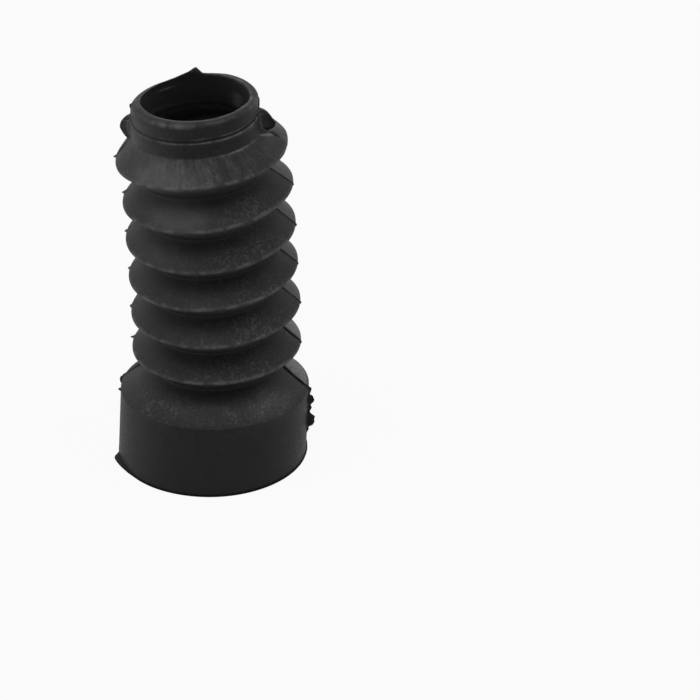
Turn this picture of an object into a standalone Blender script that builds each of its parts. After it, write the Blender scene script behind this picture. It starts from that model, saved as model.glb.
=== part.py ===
"""Fork gaiter: a soft rubber bellows that keeps dirt off the sliding tube of a motorbike's front fork.

It is one moulded piece that stands on its wide mouth at Z = 0. From the top down it has a neck with a
rounded bead, a groove, a plain collar for a clip, sharp folds, a sloping shoulder and a plain cuff. Two
thin ears of moulding flash stand on the collar, one at +X and one at -X. The wall is drawn as a turned
shape, and is then moved to where the soft body stands: the folds tilt and the neck leans to -X.
Sizes are in metres and angles in degrees.
"""

import math

import bmesh
import bpy

# What it fits: the tube passes up through the neck, and the fixed leg goes into the cuff
FORK_TUBE_DIAMETER = 0.031
NECK_GRIP = 0.0004
FORK_LEG_DIAMETER = 0.0505
CUFF_GRIP = 0.0005

# Cuff and shoulder, from the mouth up
MOUTH_STEP_DEPTH = 0.0004
MOUTH_STEP_HEIGHT = 0.001
CUFF_WALL = 0.0022
CUFF_HEIGHT = 0.0212
SHOULDER_EDGE_ROUND = 0.0004
SHOULDER_WALL = 0.0018
SHOULDER_HEIGHT = 0.0085

# Folds: their valleys stand clear of the tube, and a ridge stands out from its valleys
FOLD_COUNT = 6
VALLEY_OVER_TUBE = 0.00205
VALLEY_ROUND = 0.0006
FOLD_DEPTH = 0.0067
FOLD_UNDERSIDE_HEIGHT = 0.0057
FOLD_TOP_HEIGHT = 0.0066
RIDGE_LAND = 0.0005
FOLD_WALL = 0.0012
INSIDE_ROUND = 0.0008

# Neck, above the top fold
TOP_CONE_HEIGHT = 0.0068
COLLAR_WALL = 0.0028
COLLAR_HEIGHT = 0.0048
COLLAR_FOOT_ROUND = 0.0006
GROOVE_DEPTH = 0.0006
GROOVE_HEIGHT = 0.0009
BEAD_WALL = 0.0025
BEAD_HEIGHT = 0.0054
BEAD_ROUND = 0.0013
BEAD_FOOT_ROUND = 0.0003
LIP_ROUND = 0.0003

# The lip is trimmed low on one side, from LIP_CUT_MIDDLE as far as LIP_CUT_REACH to either side
LIP_CUT_DEPTH = 0.0029
LIP_CUT_MIDDLE = 135.0
LIP_CUT_REACH = 45.0

# Ears of flash on the collar
EAR_STRAIGHT = 0.0004
EAR_ROUND = 0.0033
EAR_HEIGHT = 0.0068
EAR_THICKNESS = 0.0009
EAR_BELOW_COLLAR_TOP = 0.0021
EAR_ARC_STEPS = 8

# Where the soft body stands, as a shift towards +X, a tilt that lifts the +X side and a tilt that lifts
# the +Y side. The folds are counted from the lowest. Between two stations the three change evenly.
FOOT_STANCE = (-0.0006, 0.0, 0.0)
SHOULDER_STANCE = (0.0006, 0.2, -2.2)
FOLD_STANCES = (
    (0.0014, 1.6, -0.3),
    (0.0014, 3.4, 0.7),
    (0.001, 4.6, 0.9),
    (0.0005, 5.2, 1.8),
    (0.0, 6.8, 0.0),
    (-0.0016, 5.6, -3.1),
)
COLLAR_FOOT_STANCE = (-0.003, 3.2, -1.9)
COLLAR_STANCE = (-0.0035, 2.75, -1.6)
LIP_STANCE = (-0.0029, 2.75, -1.6)

# Fineness of the turned mesh
TURN_STEPS = 64
FINE_ARC_STEPS = 3
PLAIN_ARC_STEPS = 2
COARSE_ARC_STEPS = 1

RUBBER_COLOUR = (0.03, 0.03, 0.031, 1.0)
RUBBER_ROUGHNESS = 0.6

neck_bore_radius = (FORK_TUBE_DIAMETER - NECK_GRIP) / 2
collar_radius = neck_bore_radius + COLLAR_WALL
bead_radius = neck_bore_radius + BEAD_WALL
valley_radius = FORK_TUBE_DIAMETER / 2 + VALLEY_OVER_TUBE
ridge_radius = valley_radius + FOLD_DEPTH
cuff_bore_radius = (FORK_LEG_DIAMETER - CUFF_GRIP) / 2
cuff_radius = cuff_bore_radius + CUFF_WALL
fold_pitch = FOLD_UNDERSIDE_HEIGHT + FOLD_TOP_HEIGHT
lowest_ridge_height = CUFF_HEIGHT + SHOULDER_HEIGHT + FOLD_UNDERSIDE_HEIGHT
top_ridge_height = lowest_ridge_height + (FOLD_COUNT - 1) * fold_pitch
collar_foot_height = top_ridge_height + TOP_CONE_HEIGHT
collar_top_height = collar_foot_height + COLLAR_HEIGHT
bead_foot_height = collar_top_height + GROOVE_HEIGHT
total_height = bead_foot_height + BEAD_HEIGHT

stations = [
    (0.0, FOOT_STANCE),
    (CUFF_HEIGHT, SHOULDER_STANCE),
    *((lowest_ridge_height + fold * fold_pitch, stance) for fold, stance in enumerate(FOLD_STANCES)),
    (collar_foot_height, COLLAR_FOOT_STANCE),
    (collar_foot_height + COLLAR_HEIGHT / 2, COLLAR_STANCE),
    (total_height, LIP_STANCE),
]


def clear_scene():
    for old in list(bpy.data.objects):
        bpy.data.objects.remove(old, do_unlink=True)


def new_collection(name):
    collection = bpy.data.collections.new(name)
    bpy.context.scene.collection.children.link(collection)
    return collection


def rubber():
    material = bpy.data.materials.new("rubber")
    material.use_nodes = True
    shader = material.node_tree.nodes["Principled BSDF"]
    shader.inputs["Base Color"].default_value = RUBBER_COLOUR
    shader.inputs["Roughness"].default_value = RUBBER_ROUGHNESS
    return material


def rounded(corners):
    """The points of a path whose corners (radius, height, rounding, steps) are replaced by arcs."""
    points = []
    for index, (x, z, rounding, steps) in enumerate(corners):
        if not rounding:
            points.append((x, z))
            continue
        before = corners[index - 1]
        after = corners[(index + 1) % len(corners)]
        back = (before[0] - x, before[1] - z)
        ahead = (after[0] - x, after[1] - z)
        back_length = math.hypot(*back)
        ahead_length = math.hypot(*ahead)
        back = (back[0] / back_length, back[1] / back_length)
        ahead = (ahead[0] / ahead_length, ahead[1] / ahead_length)
        half = math.acos(max(-1.0, min(1.0, back[0] * ahead[0] + back[1] * ahead[1]))) / 2
        tangent = min(rounding / math.tan(half), back_length / 2, ahead_length / 2)
        radius = tangent * math.tan(half)
        middle = (back[0] + ahead[0], back[1] + ahead[1])
        middle_length = math.hypot(*middle)
        centre_distance = radius / math.sin(half)
        centre = (
            x + middle[0] / middle_length * centre_distance,
            z + middle[1] / middle_length * centre_distance,
        )
        start = math.atan2(z + back[1] * tangent - centre[1], x + back[0] * tangent - centre[0])
        end = math.atan2(z + ahead[1] * tangent - centre[1], x + ahead[0] * tangent - centre[0])
        sweep = (end - start + math.pi) % (2 * math.pi) - math.pi
        for step in range(steps + 1):
            angle = start + sweep * step / steps
            points.append((centre[0] + radius * math.cos(angle), centre[1] + radius * math.sin(angle)))
    return points


def inside_line(upper, lower, wall):
    """A point and a direction of the line that runs beside upper to lower, one wall nearer the axis."""
    run = (lower[0] - upper[0], lower[1] - upper[1])
    length = math.hypot(*run)
    run = (run[0] / length, run[1] / length)
    return (upper[0] + run[1] * wall, upper[1] - run[0] * wall), run


def meeting(first, second):
    """Where two such lines cross."""
    (x1, z1), (dx1, dz1) = first
    (x2, z2), (dx2, dz2) = second
    along = ((x2 - x1) * dz2 - (z2 - z1) * dx2) / (dx1 * dz2 - dz1 * dx2)
    return (x1 + along * dx1, z1 + along * dz1)


def gaiter_profile():
    """The closed outline of the wall at +X: down the outside from the lip, then up the inside."""
    lip = [
        (neck_bore_radius, total_height, LIP_ROUND, COARSE_ARC_STEPS),
        (bead_radius, total_height, BEAD_ROUND, FINE_ARC_STEPS),
    ]
    neck = [
        (bead_radius, bead_foot_height, BEAD_FOOT_ROUND, COARSE_ARC_STEPS),
        (collar_radius - GROOVE_DEPTH, bead_foot_height, 0, 0),
        (collar_radius - GROOVE_DEPTH, collar_top_height, 0, 0),
        (collar_radius, collar_top_height, 0, 0),
        (collar_radius, collar_foot_height, COLLAR_FOOT_ROUND, COARSE_ARC_STEPS),
    ]
    folds = []
    faces = [((neck_bore_radius, total_height), (neck_bore_radius, collar_foot_height), 0)]
    above = (collar_radius, collar_foot_height)
    for fold in range(FOLD_COUNT):
        ridge_height = top_ridge_height - fold * fold_pitch
        land_top = (ridge_radius, ridge_height + RIDGE_LAND / 2)
        land_foot = (ridge_radius, ridge_height - RIDGE_LAND / 2)
        valley = (valley_radius, ridge_height - FOLD_UNDERSIDE_HEIGHT)
        folds += [
            (*land_top, 0, 0),
            (*land_foot, 0, 0),
            (*valley, VALLEY_ROUND, PLAIN_ARC_STEPS),
        ]
        faces += [(above, land_top, FOLD_WALL), (land_foot, valley, FOLD_WALL)]
        above = valley
    faces += [
        (above, (cuff_radius, CUFF_HEIGHT), SHOULDER_WALL),
        ((cuff_radius, CUFF_HEIGHT), (cuff_radius, 0), CUFF_WALL),
    ]
    cuff = [
        (cuff_radius, CUFF_HEIGHT, SHOULDER_EDGE_ROUND, COARSE_ARC_STEPS),
        (cuff_radius, MOUTH_STEP_HEIGHT, 0, 0),
        (cuff_radius - MOUTH_STEP_DEPTH, MOUTH_STEP_HEIGHT, 0, 0),
        (cuff_radius - MOUTH_STEP_DEPTH, 0, 0, 0),
        (cuff_bore_radius, 0, 0, 0),
    ]
    lines = [inside_line(*face) for face in faces]
    inside = [
        (*meeting(first, second), INSIDE_ROUND, COARSE_ARC_STEPS)
        for first, second in zip(lines, lines[1:])
    ]
    return rounded(lip + neck + folds + cuff + inside[::-1])


def trimmed(angle, z):
    """The height of a point once the lip is cut: the bead is squeezed down under the cut."""
    if z <= bead_foot_height:
        return z
    away = abs(math.degrees(angle) - LIP_CUT_MIDDLE) / LIP_CUT_REACH
    if away >= 1:
        return z
    return z - LIP_CUT_DEPTH * math.cos(away * math.pi / 2) * (z - bead_foot_height) / BEAD_HEIGHT


def stance_at(z):
    """The shift and the two tilts at a height, the tilts in radians."""
    for (low, below), (high, above) in zip(stations, stations[1:]):
        if z <= high:
            break
    share = (z - low) / (high - low)
    shift, side, fore = (a + (b - a) * share for a, b in zip(below, above))
    return shift, math.radians(side), math.radians(fore)


def stood(x, y, z):
    """A point of the turned shape, moved to where the soft body stands."""
    shift, side, fore = stance_at(z)
    return (x * math.cos(side) + shift, y * math.cos(fore), z + x * math.sin(side) + y * math.sin(fore))


def turned(name, profile, collection, material):
    """A closed outline in the XZ plane, turned once about Z, trimmed and moved to its stance."""
    count = len(profile)
    vertices = []
    for turn in range(TURN_STEPS):
        angle = 2 * math.pi * turn / TURN_STEPS
        for radius, height in profile:
            z = trimmed(angle, height)
            vertices.append(stood(radius * math.cos(angle), radius * math.sin(angle), z))
    faces = []
    for turn in range(TURN_STEPS):
        here = turn * count
        there = (turn + 1) % TURN_STEPS * count
        for index in range(count):
            below = (index + 1) % count
            faces.append((here + index, here + below, there + below, there + index))
    mesh = bpy.data.meshes.new(name)
    mesh.from_pydata(vertices, [], faces)
    mesh.polygons.foreach_set("use_smooth", [True] * len(faces))
    mesh.materials.append(material)
    faced = bmesh.new()
    faced.from_mesh(mesh)
    bmesh.ops.recalc_face_normals(faced, faces=faced.faces)
    faced.to_mesh(mesh)
    faced.free()
    shape = bpy.data.objects.new(name, mesh)
    collection.objects.link(shape)
    return shape


def ear(name, side, collection):
    """A thin upright lobe on one side, with its root inside the wall of the neck and the top cone."""
    root = (neck_bore_radius + collar_radius - GROOVE_DEPTH) / 2
    flank = collar_radius + EAR_STRAIGHT
    middle = collar_top_height - EAR_BELOW_COLLAR_TOP
    outline = [(root, middle + EAR_HEIGHT / 2)]
    for step in range(EAR_ARC_STEPS + 1):
        angle = math.pi / 2 - math.pi * step / EAR_ARC_STEPS
        outline.append((flank + EAR_ROUND * math.cos(angle), middle + EAR_HEIGHT / 2 * math.sin(angle)))
    outline.append((collar_radius, middle - EAR_HEIGHT / 2))
    mesh = bpy.data.meshes.new(name)
    mesh.from_pydata([stood(side * x, 0, z) for x, z in outline], [], [range(len(outline))])
    shape = bpy.data.objects.new(name, mesh)
    collection.objects.link(shape)
    plate = shape.modifiers.new("plate", "SOLIDIFY")
    plate.thickness = EAR_THICKNESS
    plate.offset = 0
    shape.hide_render = True
    shape.display_type = "WIRE"
    return shape


def joined(shape, other):
    union = shape.modifiers.new(other.name, "BOOLEAN")
    union.operation = "UNION"
    union.solver = "EXACT"
    union.object = other


def main():
    clear_scene()
    parts = new_collection("fork_gaiter")
    cutters = new_collection("cutters")
    gaiter = turned("gaiter", gaiter_profile(), parts, rubber())
    joined(gaiter, ear("ear_right", 1, cutters))
    joined(gaiter, ear("ear_left", -1, cutters))
    bpy.context.view_layer.update()


main()
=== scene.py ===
"""Looks of the fork gaiter: black moulded rubber, seen as in its photograph.

Lengths are in millimetres until the mesh is made. The wall, and the lean and tilt of a soft body that
doesn't stand quite true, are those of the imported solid, with finer roundings. On top of that come a
turned parting line with its flash (fins, nibs, crumbs and a flap), nicks, a bent top fold, a lowered
part of the shoulder and an unevenly trimmed lip.
Azimuth is counted from +X towards +Y, so 90 degrees is the back and 270 the front.
"""

import math

import bpy
import numpy as np
from mathutils import Matrix, Vector


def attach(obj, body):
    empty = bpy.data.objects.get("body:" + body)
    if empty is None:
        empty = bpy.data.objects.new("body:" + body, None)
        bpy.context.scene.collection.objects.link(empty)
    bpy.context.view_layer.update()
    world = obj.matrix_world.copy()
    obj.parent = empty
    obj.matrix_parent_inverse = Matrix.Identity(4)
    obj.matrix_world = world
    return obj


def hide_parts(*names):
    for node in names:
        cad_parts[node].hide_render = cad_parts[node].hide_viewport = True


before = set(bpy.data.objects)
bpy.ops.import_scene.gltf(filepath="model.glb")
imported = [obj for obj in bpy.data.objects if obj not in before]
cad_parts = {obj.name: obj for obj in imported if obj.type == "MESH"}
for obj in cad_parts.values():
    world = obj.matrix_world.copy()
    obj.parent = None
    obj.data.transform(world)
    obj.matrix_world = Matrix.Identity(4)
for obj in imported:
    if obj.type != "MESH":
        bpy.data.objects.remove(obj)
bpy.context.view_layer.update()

MM = 0.001

# Wall, from the lip down
NECK_BORE = 15.3
BEAD = 17.8
COLLAR = 18.1
GROOVE = 17.5
VALLEY = 17.55
RIDGE = 24.25
CUFF = 27.2
CUFF_BORE = 25.0
MOUTH_STEP = 27.1
MOUTH_FLASH = 27.6
MOUTH_FLASH_TOP = 0.12
TOP = 114.8
BEAD_FOOT = 109.4
COLLAR_TOP = 108.5
COLLAR_FOOT = 103.7
TOP_RIDGE = 96.9
PITCH = 12.3
FOLDS = 6
UNDERSIDE = 5.7
SHOULDER_EDGE = 21.2
MOUTH_STEP_TOP = 0.4
RIDGE_LAND = 0.5
RIM_START = TOP - 1.0
MOUTH_START = 1.0
NECK_WALL = 2.8
FOLD_WALL = 1.2
SHOULDER_WALL = 1.8
CUFF_WALL = 2.2

# Fineness of the mesh
OUTER_SPACING = 0.62
NECK_SPACING = 0.36
INNER_SPACING = 2.2
TURN_STEP = 2.1
SEAM_OFFSETS = (0.0, 0.12, 0.25, 0.38, 0.5, 0.7, 1.0, 1.5, 2.3)
SEAM_MARGIN = 10.0
SHARP_ANGLE = 50.0

# Lean and tilt of the soft body: height, shift to the right, right side up, back side up (degrees)
STANCE = (
    (0.0, -0.6, 0.0, 0.0),
    (21.2, 0.6, 0.2, -2.2),
    (35.4, 1.4, 1.6, -0.3),
    (47.7, 1.4, 3.4, 0.7),
    (60.0, 1.0, 4.6, 0.9),
    (72.3, 0.5, 5.2, 1.8),
    (84.6, 0.0, 6.8, 0.0),
    (96.9, -1.6, 5.6, -3.1),
    (103.7, -3.0, 3.2, -1.9),
    (106.1, -3.5, 2.75, -1.6),
    (114.8, -2.9, 2.75, -1.6),
)

# Twist of the soft body: height, and how far the parting line has turned at the right and left (degrees)
TWIST = (
    (0.0, -6.0, -14.0),
    (25.0, -6.0, -14.0),
    (35.4, -4.0, -8.0),
    (95.0, -4.0, -8.0),
    (101.0, 0.0, 0.0),
    (115.0, 0.0, 0.0),
)

# The back half of the shoulder sits lower beside the left parting line: height and drop,
# and where round the body the drop starts and ends
SHOULDER_DROP = ((21.5, 0.0), (23.5, 0.9), (27.5, 0.9), (29.5, 0.0))
DROP_START = (0.1, 0.6)
DROP_END = (12.0, 24.0)

# Ears: height and reach from the axis
EAR_HALF_THICKNESS = 0.38
EAR_EDGE = 0.12
EAR_FILLET = 0.9
RIGHT_EAR = (
    (102.4, 19.0),
    (102.7, 20.6),
    (103.1, 21.5),
    (104.0, 22.3),
    (105.0, 22.75),
    (106.0, 22.3),
    (107.2, 21.5),
    (108.4, 20.6),
    (109.3, 19.5),
    (109.9, 18.2),
)
LEFT_EAR = (
    (102.3, 18.6),
    (102.9, 19.2),
    (103.6, 19.8),
    (104.5, 20.2),
    (105.5, 20.5),
    (106.6, 20.75),
    (107.8, 20.5),
    (108.8, 19.8),
    (109.6, 18.9),
    (110.0, 17.9),
)

# Crumbs of flash in the parting plane: side, height, reach out from the wall, half height
CRUMBS = (
    (1, 20.8, 0.4, 1.6),
    (1, 17.4, 1.25, 1.5),
    (1, 14.9, 0.65, 0.7),
    (1, 10.6, 1.95, 2.1),
    (-1, 16.0, 1.75, 0.5),
    (-1, 19.4, 1.2, 1.4),
)
CRUMB_HALF_THICKNESS = 0.45
CRUMB_EDGE = 0.5

# A flap of flash that lies on the floor at the left of the mouth: azimuth and reach beyond the flash
FLAP = (
    (140.0, 0.0),
    (155.0, -0.35),
    (185.5, -0.35),
    (188.0, 0.8),
    (191.5, 1.35),
    (197.0, 1.05),
    (206.0, 0.45),
    (216.0, 0.0),
)

# Nibs on the left of each ridge, from the top fold down: place beside the parting line and length
NIBS = ((-0.1, 1.0), (-1.5, 1.3), (0.2, 1.0), (0.2, 0.85), (1.2, 1.3), (-1.0, 1.5))
NIB_HALF_WIDTH = 0.6
NIB_HALF_HEIGHT = 0.6

# Thin fins along the parting plane: height up the wall and how far the fin stands out
FIN_HALF_WIDTH = 0.12
RIGHT_FIN = (
    (1.2, 0.05),
    (6.5, 0.1),
    (7.5, 0.5),
    (20.0, 0.6),
    (22.0, 0.5),
    (30.0, 0.45),
    (48.0, 0.3),
    (91.0, 0.3),
    (95.0, 0.06),
    (103.0, 0.06),
    (109.5, 0.2),
    (110.5, 0.45),
    (113.5, 0.2),
)
LEFT_FIN = (
    (1.2, 0.05),
    (19.0, 0.1),
    (21.5, 0.6),
    (28.5, 0.7),
    (30.5, 0.1),
    (95.0, 0.12),
    (98.0, 0.25),
    (103.0, 0.3),
    (111.0, 0.2),
    (113.5, 0.35),
)

# Nicks along the right parting line: place beside it, half width, height, half height and depth
NICKS = (
    (0.5, 0.5, 99.9, 1.3, 1.0),
    (-0.5, 0.4, 39.0, 2.6, 0.6),
    (-0.5, 0.45, 25.8, 4.4, 0.7),
)

# How far the lip is cut down, by azimuth, and the leaf of flash left on it
LIP_CUT = (
    (0.0, 1.1),
    (20.0, 0.85),
    (40.0, 0.7),
    (60.0, 0.7),
    (78.0, 1.0),
    (85.0, 0.9),
    (92.0, 0.4),
    (97.0, 0.3),
    (105.0, 1.0),
    (113.0, 1.6),
    (122.0, 1.85),
    (132.0, 1.8),
    (150.0, 1.75),
    (160.0, 1.7),
    (170.0, 1.5),
    (180.0, 1.0),
    (200.0, 0.3),
    (330.0, 0.3),
    (360.0, 1.1),
)
LEAF_AZIMUTH = 90.5
LEAF_HEIGHT = 1.5
LEAF_SPREAD = 7.0

# How much higher the rim's inner edge stands than its outer one, by azimuth, the share of the rim's
# width that keeps its height, and how far below the lip the slant reaches
RIM_SLANT = (
    (0.0, 0.0),
    (55.0, 0.2),
    (80.0, 1.0),
    (95.0, 1.5),
    (122.0, 1.5),
    (140.0, 1.0),
    (165.0, 1.0),
    (185.0, 0.0),
)
RIM_PIVOT = 0.45
RIM_DEPTH = 3.0

# Slow waves of the wall: how far it moves out and up
WAVES_OUT = 0.07
WAVES_UP = 0.05

# Grey bloom in the grain and painted sheen, which makes each fold paler towards its ridge and darker in
# its shaded valley: of the ridges from the top fold down, and height and share below and above them
RIDGE_BLOOM_AND_SHEEN = (0.9, 0.9, 0.9, 0.8, 0.8, 0.8)
BLOOM_AND_SHEEN_BELOW = (
    (0.0, 0.1),
    (SHOULDER_EDGE, 0.2),
    (SHOULDER_EDGE + 1.2, 0.75),
    (SHOULDER_EDGE + 4.0, 0.65),
)
BLOOM_AND_SHEEN_ABOVE = ((COLLAR_FOOT, 0.3), (BEAD_FOOT, 0.25), (TOP, 0.3))

# The top fold is bent up at the back right: azimuth and rise of its ridge
TOP_FOLD_BEND = (
    (0.0, 0.8),
    (12.0, 2.1),
    (30.0, 2.6),
    (60.0, 2.0),
    (100.0, 1.0),
    (150.0, 0.5),
    (180.0, 0.0),
    (345.0, 0.0),
    (360.0, 0.8),
)

# The same fold stands out further at the right: how far, and the azimuth and spread of it
TOP_FOLD_SPREAD = (0.55, 10.0, 12.0)

# Where pale bloom and speckled painted sheen sit in the grain: height, azimuth, reach in height, reach
# round the body and strength
BLOOM_AND_SHEEN_SPOTS = (
    (99.5, 268.0, 4.0, 22.0, 0.9),
    (87.5, 310.0, 4.0, 24.0, 0.9),
    (75.5, 312.0, 4.0, 24.0, 0.9),
    (62.5, 312.0, 4.0, 26.0, 1.0),
    (50.5, 308.0, 4.0, 30.0, 1.1),
    (38.0, 305.0, 4.0, 30.0, 1.1),
    (25.0, 322.0, 3.0, 18.0, 2.2),
    (24.5, 270.0, 2.5, 30.0, 0.8),
    (24.0, 232.0, 2.5, 22.0, 0.35),
)

# Pools of painted sheen where light falls, smooth and pale, in the same way
PAINTED_SHEEN_SPOTS = (
    (110.8, 210.0, 1.8, 28.0, 0.5),
    (105.8, 200.0, 3.2, 34.0, 0.75),
    (99.5, 238.0, 3.5, 17.0, 1.5),
    (99.0, 262.0, 3.0, 16.0, 0.8),
    (87.5, 256.0, 2.6, 22.0, 1.7),
    (75.0, 240.0, 2.6, 24.0, 0.5),
    (62.5, 265.0, 2.2, 30.0, 0.3),
    (50.0, 265.0, 2.2, 30.0, 0.3),
    (25.5, 285.0, 2.5, 34.0, 0.35),
    (24.5, 322.0, 3.0, 18.0, 0.8),
)

# Worn edges with painted highlights at the foot and top of the collar, in the same way, and a painted
# highlight on the lip
WORN_AND_HIGHLIT_EDGE_SPOTS = (
    (COLLAR_FOOT - 0.3, 314.0, 0.22, 20.0, 1.5),
    (COLLAR_TOP - 0.7, 328.0, 0.6, 14.0, 0.45),
)
LIP_HIGHLIGHT = (TOP - 1.1, 248.0, 0.6, 26.0, 0.9)

# Painted shade beside the fin of the parting line at the right: height and reach beside the plane, and
# where it fades out
SEAM_SHADE_REACH = ((40.0, 0.85), (48.0, 0.3))
SEAM_SHADE_FADE = (95.0, 96.6)

# The black strip at the left of the shoulder: middle and reach beside the plane, foot and top
STRIP_PLACE = 1.4
STRIP_REACH = 1.8
STRIP_FOOT = SHOULDER_EDGE - 0.5
STRIP_TOP = SHOULDER_EDGE + 8.5

# How far flash stands out, or a nick goes in, where it starts to look black and where it is black
FLASH_DARK = (0.25, 0.6)
LIP_FLASH_DARK = (0.1, 0.25)
# Painted shade on the outer rim of each ear, where it turns from the light
EAR_DARK = (1.8, 4.2)
EAR_DARKEST = 0.95
# Painted highlight at the root of each ear
EAR_ROOT_OUT = (0.05, 0.25)
# Painted shade in the nicks
NICK_DARK = (0.1, 0.35)

# A painted highlight, a slanting pale streak left of the right parting line along a crease that catches
# the light: its two ends, height, slope and reach
STREAK_START = (-4.8, -3.8)
STREAK_END = (-0.9, -0.4)
STREAK_HEIGHT = 100.5
STREAK_SLOPE = 0.62
STREAK_REACH = 0.4

# Painted light behind the right parting line, where light falls from the back right: where it starts,
# height and strength, and its fade
LIGHT_BEHIND_START = (0.4, 0.8)
LIGHT_BEHIND_STRENGTH = ((38.0, 1.0), (50.0, 0.32))
LIGHT_BEHIND_FADE = (14.0, 55.0)

# Inside the neck: where it turns into the deep inside, its painted shade, painted light in a patch and on
# the left wall, and a pale line
NECK_FADE = (COLLAR_FOOT - 1.5, COLLAR_FOOT + 1.5)
NECK_SHADE = 0.1
NECK_SHADE_FADE = (104.5, 112.0)
NECK_RIGHT_SHADE = 0.3
NECK_LEFT_LIGHT = 0.12
LIT_PATCH_AZIMUTH = 37.0
LIT_PATCH_FOOT = (104.0, 107.0)
LIT_PATCH_TOP = (109.0, 111.0)
LIT_PATCH_STRENGTH = 0.3
PALE_LINE_AZIMUTH = 124.0
PALE_LINE_HEIGHT = TOP - 2.9
NECK_MARK_SPREAD = 9.0

# Colours of the rubber, and the sizes of its noises
LOW_COLOUR = (0.014, 0.014, 0.0142, 1)
HIGH_COLOUR = (0.026, 0.026, 0.0262, 1)
# Painted sheen: the folds paler towards their ridges
RIDGE_SHEEN_COLOUR = (0.04, 0.04, 0.0402, 1)
# Smooth painted sheen
PAINTED_SHEEN_COLOUR = (0.09, 0.09, 0.0897, 1)
# Grey bloom and speckled painted sheen in the grain
BLOOM_AND_SHEEN_COLOUR = (0.15, 0.15, 0.1494, 1)
SCRATCH_COLOUR = (0.14, 0.14, 0.1395, 1)
# Pale worn edges, with painted highlights on them
WORN_AND_HIGHLIT_EDGE_COLOUR = (0.2, 0.2, 0.1995, 1)
# Painted light: the unlit deep inside is coloured paler
DEEP_PAINTED_LIGHT_COLOUR = (0.16, 0.16, 0.1596, 1)
# Pale for painted light and highlights, and for a pale line inside the neck
PALE_COLOUR = (0.35, 0.35, 0.35, 1)
# Black for painted shade, the strip, dark flash and the painted contact shadow
BLACK = (0.003, 0.003, 0.003, 1)
CLOUD_SIZE = 11.0
PATCH_SIZE = 3.2
GRAIN_SIZE = 0.85
FINE_SIZE = 0.35
STREAK_SIZE = 1.3
STREAK_STRETCH = 0.12
# Painted contact shadow: black along the bottom edge, fading out between these heights
CONTACT_SHADOW_FOOT = 0.2
CONTACT_SHADOW_TOP = 0.5
BUMP_STRENGTH = 0.6
BUMP_DEPTH = 0.15

# Camera, from the outline of the gaiter in the photograph, which is 700 pixels a side
FRAME_PIXELS = 700
FOCAL_PIXELS = 4700
SENSOR = 36
ELEVATION = 30.29
ROLL = 0.5
ORIGIN_PIXEL = (214.6, 446.9)
CAMERA_DEPTH = 1.3674
CAMERA_REACH = 20

# Floor, in metres, a hair below the part
FLOOR_SIZE = 6.0
FLOOR_DROP = 0.0001
FLOOR_COLOUR = (0.6, 0.6, 0.6, 1.0)
FLOOR_WHITE = 0.94
AMBIENT = 0.08
RUBBER_SPECULAR = 0.12

# Lamps, in metres and degrees: name, azimuth, elevation, height of the face and its brightness
LAMP_TARGET = (0, 0, 0.06)
LAMP_DISTANCE = 0.9
LAMP_WIDTH = 0.6
LAMPS = (
    ("lamp_above", 240, 72, 0.5, 2.6),
    ("lamp_left_high", 180, 50, 0.6, 0.3),
    ("lamp_left_low", 180, 10, 0.3, 2.3),
    ("lamp_left_back", 145, 22, 0.5, 0.6),
    ("lamp_back", 90, 22, 0.5, 0.55),
    ("lamp_right_back", 38, 22, 0.5, 0.62),
    ("lamp_right_high", 345, 52, 0.6, 1.25),
    ("lamp_right_low", 10, 12, 0.3, 0.05),
    ("lamp_front_left", 225, 25, 0.5, 0.3),
)


def rounded(corners):
    """The points of a path whose corners (radius, height, rounding, steps) are replaced by arcs."""
    points = []
    for index, (x, z, rounding, steps) in enumerate(corners):
        if not rounding or index in (0, len(corners) - 1):
            points.append((x, z))
            continue
        here = Vector((x, z))
        back = Vector(corners[index - 1][:2]) - here
        ahead = Vector(corners[index + 1][:2]) - here
        half = back.angle(ahead) / 2
        tangent = min(rounding / math.tan(half), back.length / 2, ahead.length / 2)
        radius = tangent * math.tan(half)
        back.normalize()
        ahead.normalize()
        centre = here + (back + ahead).normalized() * radius / math.sin(half)
        first = here + back * tangent - centre
        last = here + ahead * tangent - centre
        start = math.atan2(first.y, first.x)
        sweep = (math.atan2(last.y, last.x) - start + math.pi) % (2 * math.pi) - math.pi
        for step in range(steps + 1):
            angle = start + sweep * step / steps
            points.append((centre.x + radius * math.cos(angle), centre.y + radius * math.sin(angle)))
    return points


def inside_line(upper, lower, wall):
    """A point and a direction of the line that runs beside upper to lower, one wall nearer the axis."""
    run = (Vector(lower) - Vector(upper)).normalized()
    return Vector(upper) + Vector((run.y, -run.x)) * wall, run


def meeting(first, second):
    """Where two such lines cross."""
    (a, da), (b, db) = first, second
    along = ((b.x - a.x) * db.y - (b.y - a.y) * db.x) / (da.x * db.y - da.y * db.x)
    return a + along * da


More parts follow.
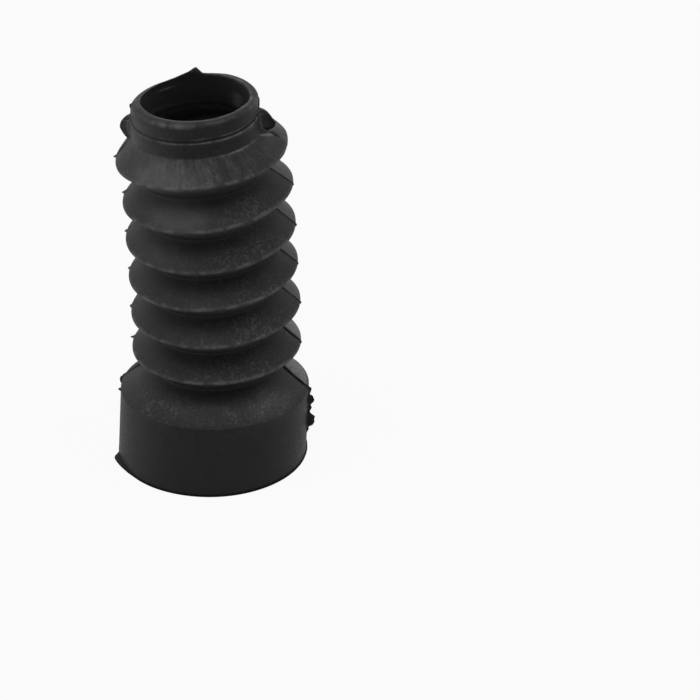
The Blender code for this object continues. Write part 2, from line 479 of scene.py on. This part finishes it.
def outside_path():
    """The outside of the wall, from the inner edge of the lip down to the inner edge of the mouth."""
    corners = [
        (NECK_BORE, RIM_START, 0, 0),
        (NECK_BORE, TOP, 0.35, 4),
        (BEAD, TOP, 1.7, 8),
        (BEAD, BEAD_FOOT, 0.35, 4),
        (GROOVE, BEAD_FOOT, 0.1, 2),
        (GROOVE, COLLAR_TOP, 0.1, 2),
        (COLLAR, COLLAR_TOP, 0.15, 3),
        (COLLAR, COLLAR_FOOT, 0.8, 5),
    ]
    for fold in range(FOLDS):
        ridge = TOP_RIDGE - fold * PITCH
        corners += [
            (RIDGE, ridge + RIDGE_LAND / 2, 0.2, 3),
            (RIDGE, ridge - RIDGE_LAND / 2, 0.2, 3),
            (VALLEY, ridge - UNDERSIDE, 0.7, 5),
        ]
    corners += [
        (CUFF, SHOULDER_EDGE, 0.5, 5),
        (CUFF, MOUTH_STEP_TOP, 0.12, 2),
        (MOUTH_STEP, MOUTH_STEP_TOP, 0.05, 2),
        (MOUTH_STEP, MOUTH_FLASH_TOP + 0.06, 0.03, 2),
        (MOUTH_FLASH, MOUTH_FLASH_TOP, 0.05, 2),
        (MOUTH_FLASH, 0.0, 0.05, 2),
        (CUFF_BORE, 0.0, 0.2, 3),
        (CUFF_BORE, MOUTH_START, 0, 0),
    ]
    return rounded(corners)


def inside_path():
    """The inside of the wall, from the mouth up to the lip."""
    faces = [((COLLAR, TOP), (COLLAR, COLLAR_FOOT), NECK_WALL)]
    above = (COLLAR, COLLAR_FOOT)
    for fold in range(FOLDS):
        ridge = TOP_RIDGE - fold * PITCH
        land_top = (RIDGE, ridge + RIDGE_LAND / 2)
        land_foot = (RIDGE, ridge - RIDGE_LAND / 2)
        valley = (VALLEY, ridge - UNDERSIDE)
        faces += [(above, land_top, FOLD_WALL), (land_foot, valley, FOLD_WALL)]
        above = valley
    faces += [
        (above, (CUFF, SHOULDER_EDGE), SHOULDER_WALL),
        ((CUFF, SHOULDER_EDGE), (CUFF, 0.0), CUFF_WALL),
    ]
    lines = [inside_line(*face) for face in faces]
    corners = [(*meeting(first, second), 0.8, 4) for first, second in zip(lines, lines[1:])]
    corners = [(NECK_BORE, RIM_START, 0, 0), *corners, (CUFF_BORE, MOUTH_START, 0, 0)]
    return rounded(corners)[::-1]


def spaced(path, spacing_at):
    """The path with its long stretches divided, without its last point."""
    points = []
    for (x0, z0), (x1, z1) in zip(path, path[1:]):
        length = math.hypot(x1 - x0, z1 - z0)
        if length < 1e-6:
            continue
        steps = max(1, math.ceil(length / spacing_at((z0 + z1) / 2)))
        points += [(x0 + (x1 - x0) * k / steps, z0 + (z1 - z0) * k / steps) for k in range(steps)]
    return points


def outer_spacing(height):
    return NECK_SPACING if height > COLLAR_FOOT - 2.5 else OUTER_SPACING


def inner_spacing(height):
    return NECK_SPACING if height > COLLAR_FOOT - 1 else INNER_SPACING


def profile():
    """Radius, height and running length of the closed outline, and which points are outside."""
    outside = spaced(outside_path(), outer_spacing)
    inside = spaced(inside_path(), inner_spacing)
    points = np.array(outside + inside)
    steps = np.hypot(*(points[1:] - points[:-1]).T)
    run = np.concatenate([[0.0], np.cumsum(steps)])
    return points[:, 0], points[:, 1], run, np.arange(len(points)) < len(outside)


def columns(radius):
    """The turn of every point from the right parting line: rows of the profile by meridians."""
    offsets = [-y for y in SEAM_OFFSETS[:0:-1]] + list(SEAM_OFFSETS)
    right = [np.arcsin(y / radius) for y in offsets]
    left = [np.pi + np.arcsin(y / radius) for y in offsets]
    margin = math.radians(SEAM_MARGIN)
    count = round((math.pi - 2 * margin) / math.radians(TURN_STEP))
    plain = np.linspace(margin, math.pi - margin, count + 1)
    back = [np.full_like(radius, angle) for angle in plain]
    front = [np.full_like(radius, angle + math.pi) for angle in plain]
    return np.array(right + back + left + front).T


def smooth(low, high, value):
    """0 below low, 1 above high, and a smooth step between them."""
    share = np.clip((value - low) / (high - low), 0, 1)
    return share * share * (3 - 2 * share)


def from_table(value, table, **beyond):
    """The level at a value, read from a table of pairs with straight lines between them."""
    places, levels = np.array(table).T
    return np.interp(value, places, levels, **beyond)


def ripple(angle, height, seed):
    """A few slow waves of unit size over the surface, the same on each run."""
    waves = np.random.default_rng(seed)
    total = np.zeros_like(angle)
    for turns in range(2, 8):
        phase, drift, size = waves.uniform(0, 2 * np.pi), waves.uniform(-0.25, 0.25), waves.uniform(0.4, 1)
        total += size * np.sin(turns * angle + drift * height + phase)
    return total / 3


def jitter(height, seed, step):
    """A value from 0 to 1 that changes at random along the height, once every step."""
    marks = np.arange(-5, 125, step)
    values = np.random.default_rng(seed).uniform(0, 1, len(marks))
    return np.interp(height, marks, values)


def add_ear(radius, height, across, outline, outer):
    """Raises the wall to the outline of an ear within half its thickness of the parting plane."""
    reach = from_table(height, outline, left=0, right=0)
    share = 1 - smooth(EAR_HALF_THICKNESS, EAR_HALF_THICKNESS + EAR_EDGE, np.abs(across))
    foot = 1 - smooth(EAR_HALF_THICKNESS, EAR_HALF_THICKNESS + EAR_FILLET, np.abs(across))
    raised = np.maximum(radius, radius + (reach - radius) * share)
    fillet = radius + np.minimum(EAR_FILLET, np.maximum(reach - radius, 0)) * foot
    return np.where(outer, np.maximum(raised, fillet), radius)


def twisted(turn, height):
    """The azimuth of points that are this far round from the right parting line."""
    heights, right, left = np.array(TWIST).T
    share = (1 + np.cos(turn)) / 2
    degrees = np.interp(height, heights, right) * share + np.interp(height, heights, left) * (1 - share)
    return turn + np.radians(degrees)


def add_flash(radius, height, turn, azimuth, outer):
    """Fins, crumbs, ears, a flap and nibs as a greater radius, and nicks as a smaller one."""
    cosine = np.cos(turn)
    across = radius * np.sin(turn)
    ridges = [TOP_RIDGE - fold * PITCH for fold in range(FOLDS)]
    grown = radius.copy()
    for side, outline, fins, seed in ((1, RIGHT_EAR, RIGHT_FIN, 5), (-1, LEFT_EAR, LEFT_FIN, 6)):
        here = outer & (side * cosine > 0)
        fin = from_table(height, fins)
        fin *= (0.5 + jitter(height, seed, 1.3)) * np.exp(-((across / FIN_HALF_WIDTH) ** 2))
        fin *= (height > MOUTH_STEP_TOP) * (height < TOP - 0.4)
        grown = np.where(here, grown + fin, grown)
        for crumb_side, middle, reach, half in CRUMBS:
            if crumb_side != side:
                continue
            rough = 0.75 + 0.4 * jitter(height, 7, 0.5)
            lump = reach * rough * np.sqrt(np.clip(1 - ((height - middle) / half) ** 2, 0, 1))
            lump *= 1 - smooth(CRUMB_HALF_THICKNESS, CRUMB_HALF_THICKNESS + CRUMB_EDGE, np.abs(across))
            grown = np.where(here, grown + lump, grown)
        grown = np.where(here, add_ear(grown, height, across, outline, outer), grown)
    flap = from_table(np.degrees(azimuth) % 360, FLAP, left=0, right=0)
    flat = outer & (height < MOUTH_FLASH_TOP + 0.05) & (radius > MOUTH_STEP + 0.3)
    grown = np.where(flat, grown + flap, grown)
    for place, half, middle, tall, depth in NICKS:
        nick = depth * near(across, place, half) * np.clip(1 - ((height - middle) / tall) ** 2, 0, 1)
        grown = np.where(outer & (cosine > 0), grown - nick, grown)
    for (place, length), ridge in zip(NIBS, ridges):
        along = radius * (turn - math.pi) - place
        nib = length * np.clip(1 - np.abs(along) / NIB_HALF_WIDTH, 0, 1)
        nib *= np.clip(1 - np.abs(height - ridge) / NIB_HALF_HEIGHT, 0, 1)
        grown = np.where(outer, grown + nib, grown)
    return grown


def cut_lip(radius, height, azimuth, lip_edge):
    """The heights with the bead squeezed down to the uneven cut of the lip, and a leaf of flash."""
    degrees = np.degrees(azimuth) % 360
    cut = from_table(degrees, LIP_CUT)
    lowered = height - cut * np.clip((height - BEAD_FOOT - 0.5) / (TOP - BEAD_FOOT - 0.5), 0, 1)
    slant = from_table(degrees, RIM_SLANT)
    inward = np.clip((BEAD - radius) / (BEAD - NECK_BORE), 0, 1)
    lowered += slant * (inward - RIM_PIVOT) * np.clip((height - TOP + RIM_DEPTH) / RIM_DEPTH, 0, 1)
    leaf = LEAF_HEIGHT * np.clip(1 - np.abs(degrees - LEAF_AZIMUTH) / LEAF_SPREAD, 0, 1)
    return lowered + leaf * lip_edge


def bend_top_fold(radius, height, azimuth):
    """The heights with the top fold bent up at the back right."""
    rise = from_table(np.degrees(azimuth) % 360, TOP_FOLD_BEND)
    return height + rise * top_fold_share(radius, height)


def top_fold_share(radius, height):
    """How far out on the top fold a point is, from 0 at its valleys to 1 at its ridge."""
    here = (height > TOP_RIDGE - UNDERSIDE) & (height < COLLAR_FOOT)
    return np.clip((radius - VALLEY) / (RIDGE - VALLEY), 0, 1) * here


def drop_shoulder(radius, height, turn):
    """The heights with the back half of the shoulder lowered beside the left parting line."""
    drop = from_table(height, SHOULDER_DROP)
    behind = radius * (math.pi - turn)
    return height - drop * smooth(*DROP_START, behind) * (1 - smooth(*DROP_END, behind))


def stand(x, y, z):
    """The points moved to the lean and tilt of the real gaiter."""
    heights, shift, side, fore = np.array(STANCE).T
    dx = np.interp(z, heights, shift)
    side = np.radians(np.interp(z, heights, side))
    fore = np.radians(np.interp(z, heights, fore))
    return x * np.cos(side) + dx, y * np.cos(fore), z + x * np.sin(side) + y * np.sin(fore)


def near(value, middle, reach):
    """1 at the middle, falling to nearly 0 at twice the reach from it."""
    return np.exp(-(((value - middle) / reach) ** 2))


def sum_of_spots(spots, height, degrees):
    """The strength at each point of soft spots on the wall."""
    total = np.zeros_like(height)
    for middle, azimuth, tall, wide, strength in spots:
        total += strength * near(height, middle, tall) * near(degrees, azimuth, wide)
    return total


def worn_and_highlit_edges(height, radius, degrees):
    """How far each point is a pale edge of the ridges, the collar, the bead or the lip: worn, with painted
    highlights where the edges catch the light.
    """
    edge = np.zeros_like(height)
    for fold in reversed(range(FOLDS)):
        edge += near(height, TOP_RIDGE - fold * PITCH, 0.45) * (radius > RIDGE - 0.6)
    # Collar top and bead foot: wear, with a painted highlight that is stronger at the front right
    to_right = near((degrees + 180) % 360, 135.0, 45.0)
    for line, reach in ((COLLAR_TOP - 0.1, COLLAR), (BEAD_FOOT, BEAD)):
        edge += (0.5 + 1.2 * to_right) * near(height, line, 0.3) * (radius > reach - 0.3)
    edge += sum_of_spots(WORN_AND_HIGHLIT_EDGE_SPOTS, height, degrees)
    # Painted highlight along the top of the bead and the lip's inner edge, weaker at the left
    not_left = 1 - near(degrees, 180.0, 55.0)
    edge += 0.5 * near(height, TOP - 0.6, 0.5) * (radius > BEAD - 0.8) * not_left
    edge += sum_of_spots((LIP_HIGHLIGHT,), height, degrees) * (radius > BEAD - 1.2)
    edge += 0.8 * near(radius, NECK_BORE + 0.4, 0.4) * (height > TOP - 0.6) * not_left
    return edge


def bloom_and_sheen_in_grain(height, degrees):
    """How much pale bloom and painted sheen sit in the grain at each point, more of both towards the
    ridges.
    """
    bloom_and_sheen_share = list(BLOOM_AND_SHEEN_BELOW)
    for fold in reversed(range(FOLDS)):
        ridge = TOP_RIDGE - fold * PITCH
        bloom_and_sheen_share += [(ridge - UNDERSIDE, 0.0), (ridge, RIDGE_BLOOM_AND_SHEEN[fold])]
    return from_table(height, bloom_and_sheen_share + list(BLOOM_AND_SHEEN_ABOVE)) + sum_of_spots(BLOOM_AND_SHEEN_SPOTS, height, degrees)


def dark_outside(height, turn, across, outer, ears, stands_out):
    """How black each point is outside: painted shade beside the parting line's fin, a strip, flash,
    painted shade on the outer rim of each ear and painted shade in the nicks.
    """
    right = outer & (np.cos(turn) > 0)
    left = outer & (np.cos(turn) < 0)
    reach = from_table(height, SEAM_SHADE_REACH) * (0.7 + 0.6 * jitter(height, 9, 0.6))
    seam_shade = right * near(across, 0.0, reach) * (1 - smooth(*SEAM_SHADE_FADE, height))
    strip = left * near(across, STRIP_PLACE, STRIP_REACH) * (height > STRIP_FOOT) * (height < STRIP_TOP)
    flash = outer * (height < COLLAR_FOOT) * smooth(*FLASH_DARK, stands_out)
    flash += outer * (height > BEAD_FOOT + 0.4) * smooth(*LIP_FLASH_DARK, stands_out)
    ear_rim_shade = EAR_DARKEST * ears * smooth(*EAR_DARK, stands_out)
    # The last term is painted shade in the nicks
    return seam_shade + strip + flash + ear_rim_shade + right * smooth(*NICK_DARK, -stands_out)


def pale_outside(height, turn, across, outer, ears, stands_out):
    """How pale each point is outside: painted light behind the parting line, and painted highlights at the
    root of each ear and along a streak.
    """
    right = outer & (np.cos(turn) > 0)
    # Painted highlight at the root of each ear
    ear_root_highlight = ears * near(np.abs(across), 0.75, 0.25) * smooth(*EAR_ROOT_OUT, stands_out)
    # Painted highlight along a crease below the right ear
    streak = right * smooth(*STREAK_START, across) * (1 - smooth(*STREAK_END, across))
    streak = streak * near(height, STREAK_HEIGHT - STREAK_SLOPE * across, STREAK_REACH)
    # Painted light behind the right parting line
    behind = right * smooth(*LIGHT_BEHIND_START, across) * smooth(SHOULDER_EDGE, SHOULDER_EDGE + 1.0, height)
    behind = behind * (height < COLLAR_FOOT) * from_table(height, LIGHT_BEHIND_STRENGTH)
    behind = behind * (1 - smooth(*LIGHT_BEHIND_FADE, np.degrees(turn) % 360))
    return behind + 0.5 * ear_root_highlight + streak


def inside_neck(neck, height, degrees):
    """How black and how pale each point is inside the neck: painted shade, painted light on the inner
    right and left walls, and a pale line.
    """
    lit_patch = LIT_PATCH_STRENGTH * neck * near(degrees, LIT_PATCH_AZIMUTH, NECK_MARK_SPREAD)
    lit_patch = lit_patch * smooth(*LIT_PATCH_FOOT, height) * (1 - smooth(*LIT_PATCH_TOP, height))
    pale_line = neck * near(degrees, PALE_LINE_AZIMUTH, NECK_MARK_SPREAD) * near(height, PALE_LINE_HEIGHT, 0.25)
    to_right = near((degrees + 180) % 360, 190.0, 45.0)
    to_left = near(degrees, 150.0, 38.0)
    # Painted shade, stronger low down and on the right wall
    shade = neck * (NECK_SHADE * (1 - smooth(*NECK_SHADE_FADE, height)) + NECK_RIGHT_SHADE * to_right)
    return shade * (1 - lit_patch - pale_line), lit_patch + pale_line + NECK_LEFT_LIGHT * neck * to_left


def surface_marks(outer, height, radius, turn, stands_out):
    """For each point, how far it is a worn and highlit edge, bloom with painted sheen, painted sheen
    alone, scratched, deep inside with painted light, dark with painted shade or pale with painted light.
    """
    degrees = np.degrees(turn) % 360
    across = radius * np.sin(turn)
    ears = outer * (height > COLLAR_FOOT - 1.5) * (height < TOP - 3)
    neck = ~outer * smooth(*NECK_FADE, height)
    scuffed = 0.25 + 0.75 * near(degrees, 263.0, 28.0)
    on_top_fold = smooth(TOP_RIDGE - 0.2, TOP_RIDGE + 0.8, height) * (height < COLLAR_FOOT)
    dark_neck, pale_neck = inside_neck(neck, height, degrees)
    dark = dark_outside(height, turn, across, outer, ears, stands_out) + dark_neck
    pale = pale_outside(height, turn, across, outer, ears, stands_out) + pale_neck
    return {
        "edge": outer * worn_and_highlit_edges(height, radius, degrees),
        "bloom_and_sheen_share": outer * bloom_and_sheen_in_grain(height, degrees),
        "painted_sheen": outer * sum_of_spots(PAINTED_SHEEN_SPOTS, height, degrees),
        "scratched": outer * on_top_fold * scuffed,
        # Painted light in the deep inside
        "deep": ~outer * (1 - neck),
        "dark": np.clip(dark, 0, 1),
        "pale": np.clip(pale, 0, 1),
    }


def gaiter_points():
    """The mesh's points, rows of the profile by meridians, with the values that the material uses."""
    profile_radius, profile_height, run, outside = profile()
    turn = columns(profile_radius)
    rows = (profile_radius, profile_height, outside, run)
    radius, height, outer, length = (np.repeat(row[:, None], turn.shape[1], axis=1) for row in rows)
    azimuth = twisted(turn, height)
    spread, middle, reach = TOP_FOLD_SPREAD
    radius = radius + WAVES_OUT * ripple(azimuth, height, 3)
    radius = radius + spread * near(np.degrees(azimuth), middle, reach) * top_fold_share(radius, height)
    grown = add_flash(radius, height, turn, azimuth, outer)
    height = height + WAVES_UP * ripple(azimuth, height, 4) * (height > 2) * (height < 100)
    lip_edge = np.exp(-(((radius - NECK_BORE - 0.3) / 0.5) ** 2)) * (height > TOP - 0.6)
    shaped = bend_top_fold(radius, cut_lip(radius, height, azimuth, lip_edge), azimuth)
    shaped = drop_shoulder(radius, shaped, turn)
    x, y, z = stand(grown * np.cos(azimuth), grown * np.sin(azimuth), shaped)
    lay = np.stack([20 * np.cos(azimuth), 20 * np.sin(azimuth), length], axis=-1)
    places = np.stack([x, y, z], axis=-1)
    return places, lay, surface_marks(outer, height, radius, turn, grown - radius)


def gaiter_mesh(name):
    """The closed mesh of the gaiter, in metres, with its marks as point attributes."""
    points, lay, marks = gaiter_points()
    rows, turns = points.shape[:2]
    index = np.arange(rows * turns).reshape(rows, turns)
    below = np.roll(index, -1, axis=0)
    corners = [index, below, np.roll(below, -1, axis=1), np.roll(index, -1, axis=1)]
    quads = np.stack(corners, axis=-1).reshape(-1, 4)
    mesh = bpy.data.meshes.new(name)
    mesh.from_pydata((points.reshape(-1, 3) * MM).tolist(), [], quads.tolist())
    for mark, values in marks.items():
        mesh.attributes.new(mark, "FLOAT", "POINT").data.foreach_set("value", values.ravel())
    vectors = (lay * MM).astype(np.float32).ravel()
    mesh.attributes.new("lay", "FLOAT_VECTOR", "POINT").data.foreach_set("vector", vectors)
    mesh.polygons.foreach_set("use_smooth", [True] * len(mesh.polygons))
    mesh.update()
    mesh.set_sharp_from_angle(angle=math.radians(SHARP_ANGLE))
    return mesh


class Nodes:
    """A short way to write a material's node tree."""

    def __init__(self, material):
        material.use_nodes = True
        self.tree = material.node_tree
        self.shader = self.tree.nodes["Principled BSDF"]

    def add(self, kind, inputs=None, **settings):
        node = self.tree.nodes.new(kind)
        for name, value in settings.items():
            setattr(node, name, value)
        for name, value in (inputs or {}).items():
            self.put(node.inputs[name], value)
        return node

    def put(self, socket, value):
        if isinstance(value, bpy.types.NodeSocket):
            self.tree.links.new(value, socket)
        else:
            socket.default_value = value

    def noise(self, vector, size, detail=2.0, roughness=0.5):
        """Noise from 0 to 1 with grains of about this size in millimetres."""
        inputs = {"Vector": vector, "Scale": 1 / (size * MM), "Detail": detail, "Roughness": roughness}
        return self.add("ShaderNodeTexNoise", inputs).outputs["Fac"]

    def span(self, value, low, high, to_low=0.0, to_high=1.0):
        inputs = {
            "Value": value,
            "From Min": low,
            "From Max": high,
            "To Min": to_low,
            "To Max": to_high,
        }
        return self.add("ShaderNodeMapRange", inputs).outputs["Result"]

    def math(self, operation, first, second):
        node = self.add("ShaderNodeMath", operation=operation)
        self.put(node.inputs[0], first)
        self.put(node.inputs[1], second)
        return node.outputs[0]

    def mix(self, share, first, second):
        node = self.add("ShaderNodeMix", data_type="RGBA")
        for index, value in ((0, share), (6, first), (7, second)):
            self.put(node.inputs[index], value)
        return node.outputs[2]

    def mark(self, name):
        return self.add("ShaderNodeAttribute", attribute_name=name).outputs["Fac"]

    def times(self, first, second):
        return self.math("MULTIPLY", first, second)


def rubber():
    """Black moulded rubber with grey bloom in its grain, scratches down the top fold and worn ridges; its
    colour also holds painted sheen, highlights, shade and a contact shadow.
    """
    material = bpy.data.materials.new("moulded_rubber")
    nodes = Nodes(material)
    place = nodes.add("ShaderNodeTexCoord").outputs["Object"]
    height = nodes.add("ShaderNodeSeparateXYZ", {"Vector": place}).outputs["Z"]
    lay = nodes.add("ShaderNodeAttribute", attribute_name="lay").outputs["Vector"]
    scale = (1.0, 1.0, STREAK_STRETCH)
    stretched = nodes.add("ShaderNodeMapping", {"Vector": lay, "Scale": scale}).outputs[0]
    edge, bloom_and_sheen_share, painted_sheen, scratched = (nodes.mark(name) for name in ("edge", "bloom_and_sheen_share", "painted_sheen", "scratched"))
    deep, dark, pale = (nodes.mark(name) for name in ("deep", "dark", "pale"))

    clouds = nodes.noise(place, CLOUD_SIZE, 3.0)
    patches = nodes.noise(place, PATCH_SIZE, 3.0, 0.6)
    grain = nodes.noise(place, GRAIN_SIZE, 3.0, 0.7)
    fine = nodes.noise(place, FINE_SIZE, 2.0, 0.6)
    streaks = nodes.noise(stretched, STREAK_SIZE, 4.0, 0.65)

    # Smooth painted sheen where light falls
    soft = nodes.times(painted_sheen, nodes.span(patches, 0.3, 0.7, 0.7, 1.0))
    # Speckled grey bloom and painted sheen in the grain
    bloom = nodes.times(nodes.span(grain, 0.47, 0.58), nodes.span(patches, 0.36, 0.6, 0.2, 1.0))
    bloom = nodes.times(bloom, nodes.times(bloom_and_sheen_share, nodes.span(clouds, 0.35, 0.65, 0.5, 1.0)))
    scratches = nodes.times(scratched, nodes.span(streaks, 0.42, 0.64))
    scratches = nodes.times(scratches, nodes.span(patches, 0.4, 0.6, 0.3, 1.0))
    # Worn edges with painted highlights, broken up by the patches
    broken = nodes.times(edge, nodes.span(patches, 0.4, 0.6, 0.25, 1.0))

    # Painted light and highlights, and the pale line inside the neck
    faint = nodes.times(pale, nodes.span(grain, 0.35, 0.6, 0.3, 0.8))
    # Painted contact shadow along the bottom edge
    contact_shadow = nodes.span(height, CONTACT_SHADOW_FOOT * MM, CONTACT_SHADOW_TOP * MM, 1.0, 0.0)
    layers = (
        # Painted sheen, paler towards the ridges
        (nodes.times(bloom_and_sheen_share, 0.1), RIDGE_SHEEN_COLOUR),
        (soft, PAINTED_SHEEN_COLOUR),
        (nodes.times(bloom, 0.55), BLOOM_AND_SHEEN_COLOUR),
        (nodes.times(scratches, 0.7), SCRATCH_COLOUR),
        (nodes.times(broken, 0.7), WORN_AND_HIGHLIT_EDGE_COLOUR),
        # Painted light in the deep inside
        (nodes.times(deep, 0.7), DEEP_PAINTED_LIGHT_COLOUR),
        (faint, PALE_COLOUR),
        # Painted shade, the strip and dark flash
        (nodes.times(dark, 0.85), BLACK),
        (contact_shadow, BLACK),
    )
    colour = nodes.mix(clouds, LOW_COLOUR, HIGH_COLOUR)
    for share, layer in layers:
        colour = nodes.mix(share, colour, layer)
    nodes.put(nodes.shader.inputs["Base Color"], colour)

    rough = nodes.span(grain, 0.3, 0.7, 0.48, 0.66)
    rough = nodes.math("ADD", rough, nodes.times(bloom, 0.12))
    nodes.put(nodes.shader.inputs["Roughness"], rough)
    nodes.shader.inputs["Specular IOR Level"].default_value = RUBBER_SPECULAR

    relief = nodes.math("ADD", nodes.times(grain, 0.7), nodes.times(fine, 0.3))
    relief = nodes.math("SUBTRACT", relief, nodes.times(scratches, 0.3))
    bump_inputs = {"Height": relief, "Strength": BUMP_STRENGTH, "Distance": BUMP_DEPTH * MM}
    bump = nodes.add("ShaderNodeBump", bump_inputs).outputs["Normal"]
    nodes.put(nodes.shader.inputs["Normal"], bump)
    return material


def build_gaiter():
    mesh = gaiter_mesh("gaiter_rubber")
    mesh.materials.append(rubber())
    gaiter = bpy.data.objects.new("gaiter_rubber", mesh)
    bpy.context.scene.collection.objects.link(gaiter)
    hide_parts("gaiter")
    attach(gaiter, "root")


def background_rays(tree):
    """1 for the rays that show the background: camera, glossy and transmission rays."""
    rays = tree.nodes.new("ShaderNodeLightPath")
    share = rays.outputs["Is Camera Ray"]
    for kind in ("Is Glossy Ray", "Is Transmission Ray"):
        either = tree.nodes.new("ShaderNodeMath")
        either.operation = "MAXIMUM"
        tree.links.new(share, either.inputs[0])
        tree.links.new(rays.outputs[kind], either.inputs[1])
        share = either.outputs[0]
    return share


def build_floor():
    """A pale floor that is nearly white to the rays that show the background and keeps a faint shadow."""
    half = FLOOR_SIZE / 2
    mesh = bpy.data.meshes.new("floor")
    corners = [(-half, -half, 0), (half, -half, 0), (half, half, 0), (-half, half, 0)]
    mesh.from_pydata(corners, [], [(0, 1, 2, 3)])
    floor = bpy.data.objects.new("floor", mesh)
    bpy.context.scene.collection.objects.link(floor)
    floor.location.z = -FLOOR_DROP
    material = bpy.data.materials.new("floor_paper")
    material.use_nodes = True
    tree = material.node_tree
    tree.nodes.clear()
    diffuse = tree.nodes.new("ShaderNodeBsdfDiffuse")
    diffuse.inputs["Color"].default_value = FLOOR_COLOUR
    white = tree.nodes.new("ShaderNodeEmission")
    white.inputs["Strength"].default_value = 1.0
    share = tree.nodes.new("ShaderNodeMath")
    share.operation = "MULTIPLY"
    share.inputs[1].default_value = FLOOR_WHITE
    tree.links.new(background_rays(tree), share.inputs[0])
    mix = tree.nodes.new("ShaderNodeMixShader")
    tree.links.new(share.outputs[0], mix.inputs["Fac"])
    tree.links.new(diffuse.outputs[0], mix.inputs[1])
    tree.links.new(white.outputs[0], mix.inputs[2])
    output = tree.nodes.new("ShaderNodeOutputMaterial")
    tree.links.new(mix.outputs[0], output.inputs["Surface"])
    mesh.materials.append(material)


def build_world():
    """Hardly any light from all around, and white to the rays that show the background."""
    world = bpy.data.worlds.new("studio")
    bpy.context.scene.world = world
    world.use_nodes = True
    tree = world.node_tree
    around = tree.nodes["Background"]
    around.inputs["Color"].default_value = (AMBIENT, AMBIENT, AMBIENT, 1)
    white = tree.nodes.new("ShaderNodeBackground")
    white.inputs["Color"].default_value = (1, 1, 1, 1)
    mix = tree.nodes.new("ShaderNodeMixShader")
    tree.links.new(background_rays(tree), mix.inputs["Fac"])
    tree.links.new(around.outputs[0], mix.inputs[1])
    tree.links.new(white.outputs[0], mix.inputs[2])
    tree.links.new(mix.outputs[0], tree.nodes["World Output"].inputs["Surface"])


def softbox(name, azimuth, elevation, tall, level):
    """A soft lamp that looks at the middle of the gaiter. Level is the brightness of its face."""
    lamp = bpy.data.lights.new(name, "AREA")
    lamp.shape = "RECTANGLE"
    lamp.size = LAMP_WIDTH
    lamp.size_y = tall
    lamp.energy = level * math.pi * LAMP_WIDTH * tall
    light = bpy.data.objects.new(name, lamp)
    bpy.context.scene.collection.objects.link(light)
    turn, rise = math.radians(azimuth), math.radians(elevation)
    way = Vector((math.cos(turn) * math.cos(rise), math.sin(turn) * math.cos(rise), math.sin(rise)))
    light.location = Vector(LAMP_TARGET) + way * LAMP_DISTANCE
    light.rotation_euler = way.to_track_quat("Z", "Y").to_euler()


def build_lights():
    for lamp in LAMPS:
        softbox(*lamp)


def build_camera():
    """The photograph's camera, placed so that the part's origin falls on its pixel."""
    rise, roll = math.radians(ELEVATION), math.radians(ROLL)
    ahead = Vector((0, math.cos(rise), -math.sin(rise)))
    right = Vector((1, 0, 0))
    up = right.cross(ahead)
    cosine, sine = math.cos(roll), math.sin(roll)
    right, up = right * cosine - up * sine, up * cosine + right * sine
    across = (ORIGIN_PIXEL[0] - FRAME_PIXELS / 2) * CAMERA_DEPTH / FOCAL_PIXELS
    down = (ORIGIN_PIXEL[1] - FRAME_PIXELS / 2) * CAMERA_DEPTH / FOCAL_PIXELS
    place = -(right * across - up * down + ahead * CAMERA_DEPTH)
    data = bpy.data.cameras.new("camera")
    data.type = "PERSP"
    data.sensor_width = SENSOR
    data.lens = FOCAL_PIXELS / FRAME_PIXELS * SENSOR
    data.clip_end = CAMERA_REACH
    camera = bpy.data.objects.new("camera", data)
    bpy.context.scene.collection.objects.link(camera)
    turned = Matrix((right, up, -ahead)).transposed().to_4x4()
    camera.matrix_world = Matrix.Translation(place) @ turned
    bpy.context.scene.camera = camera


def main():
    bpy.context.scene.view_settings.view_transform = "Standard"
    build_camera()
    build_gaiter()
    build_floor()
    build_world()
    build_lights()


main()
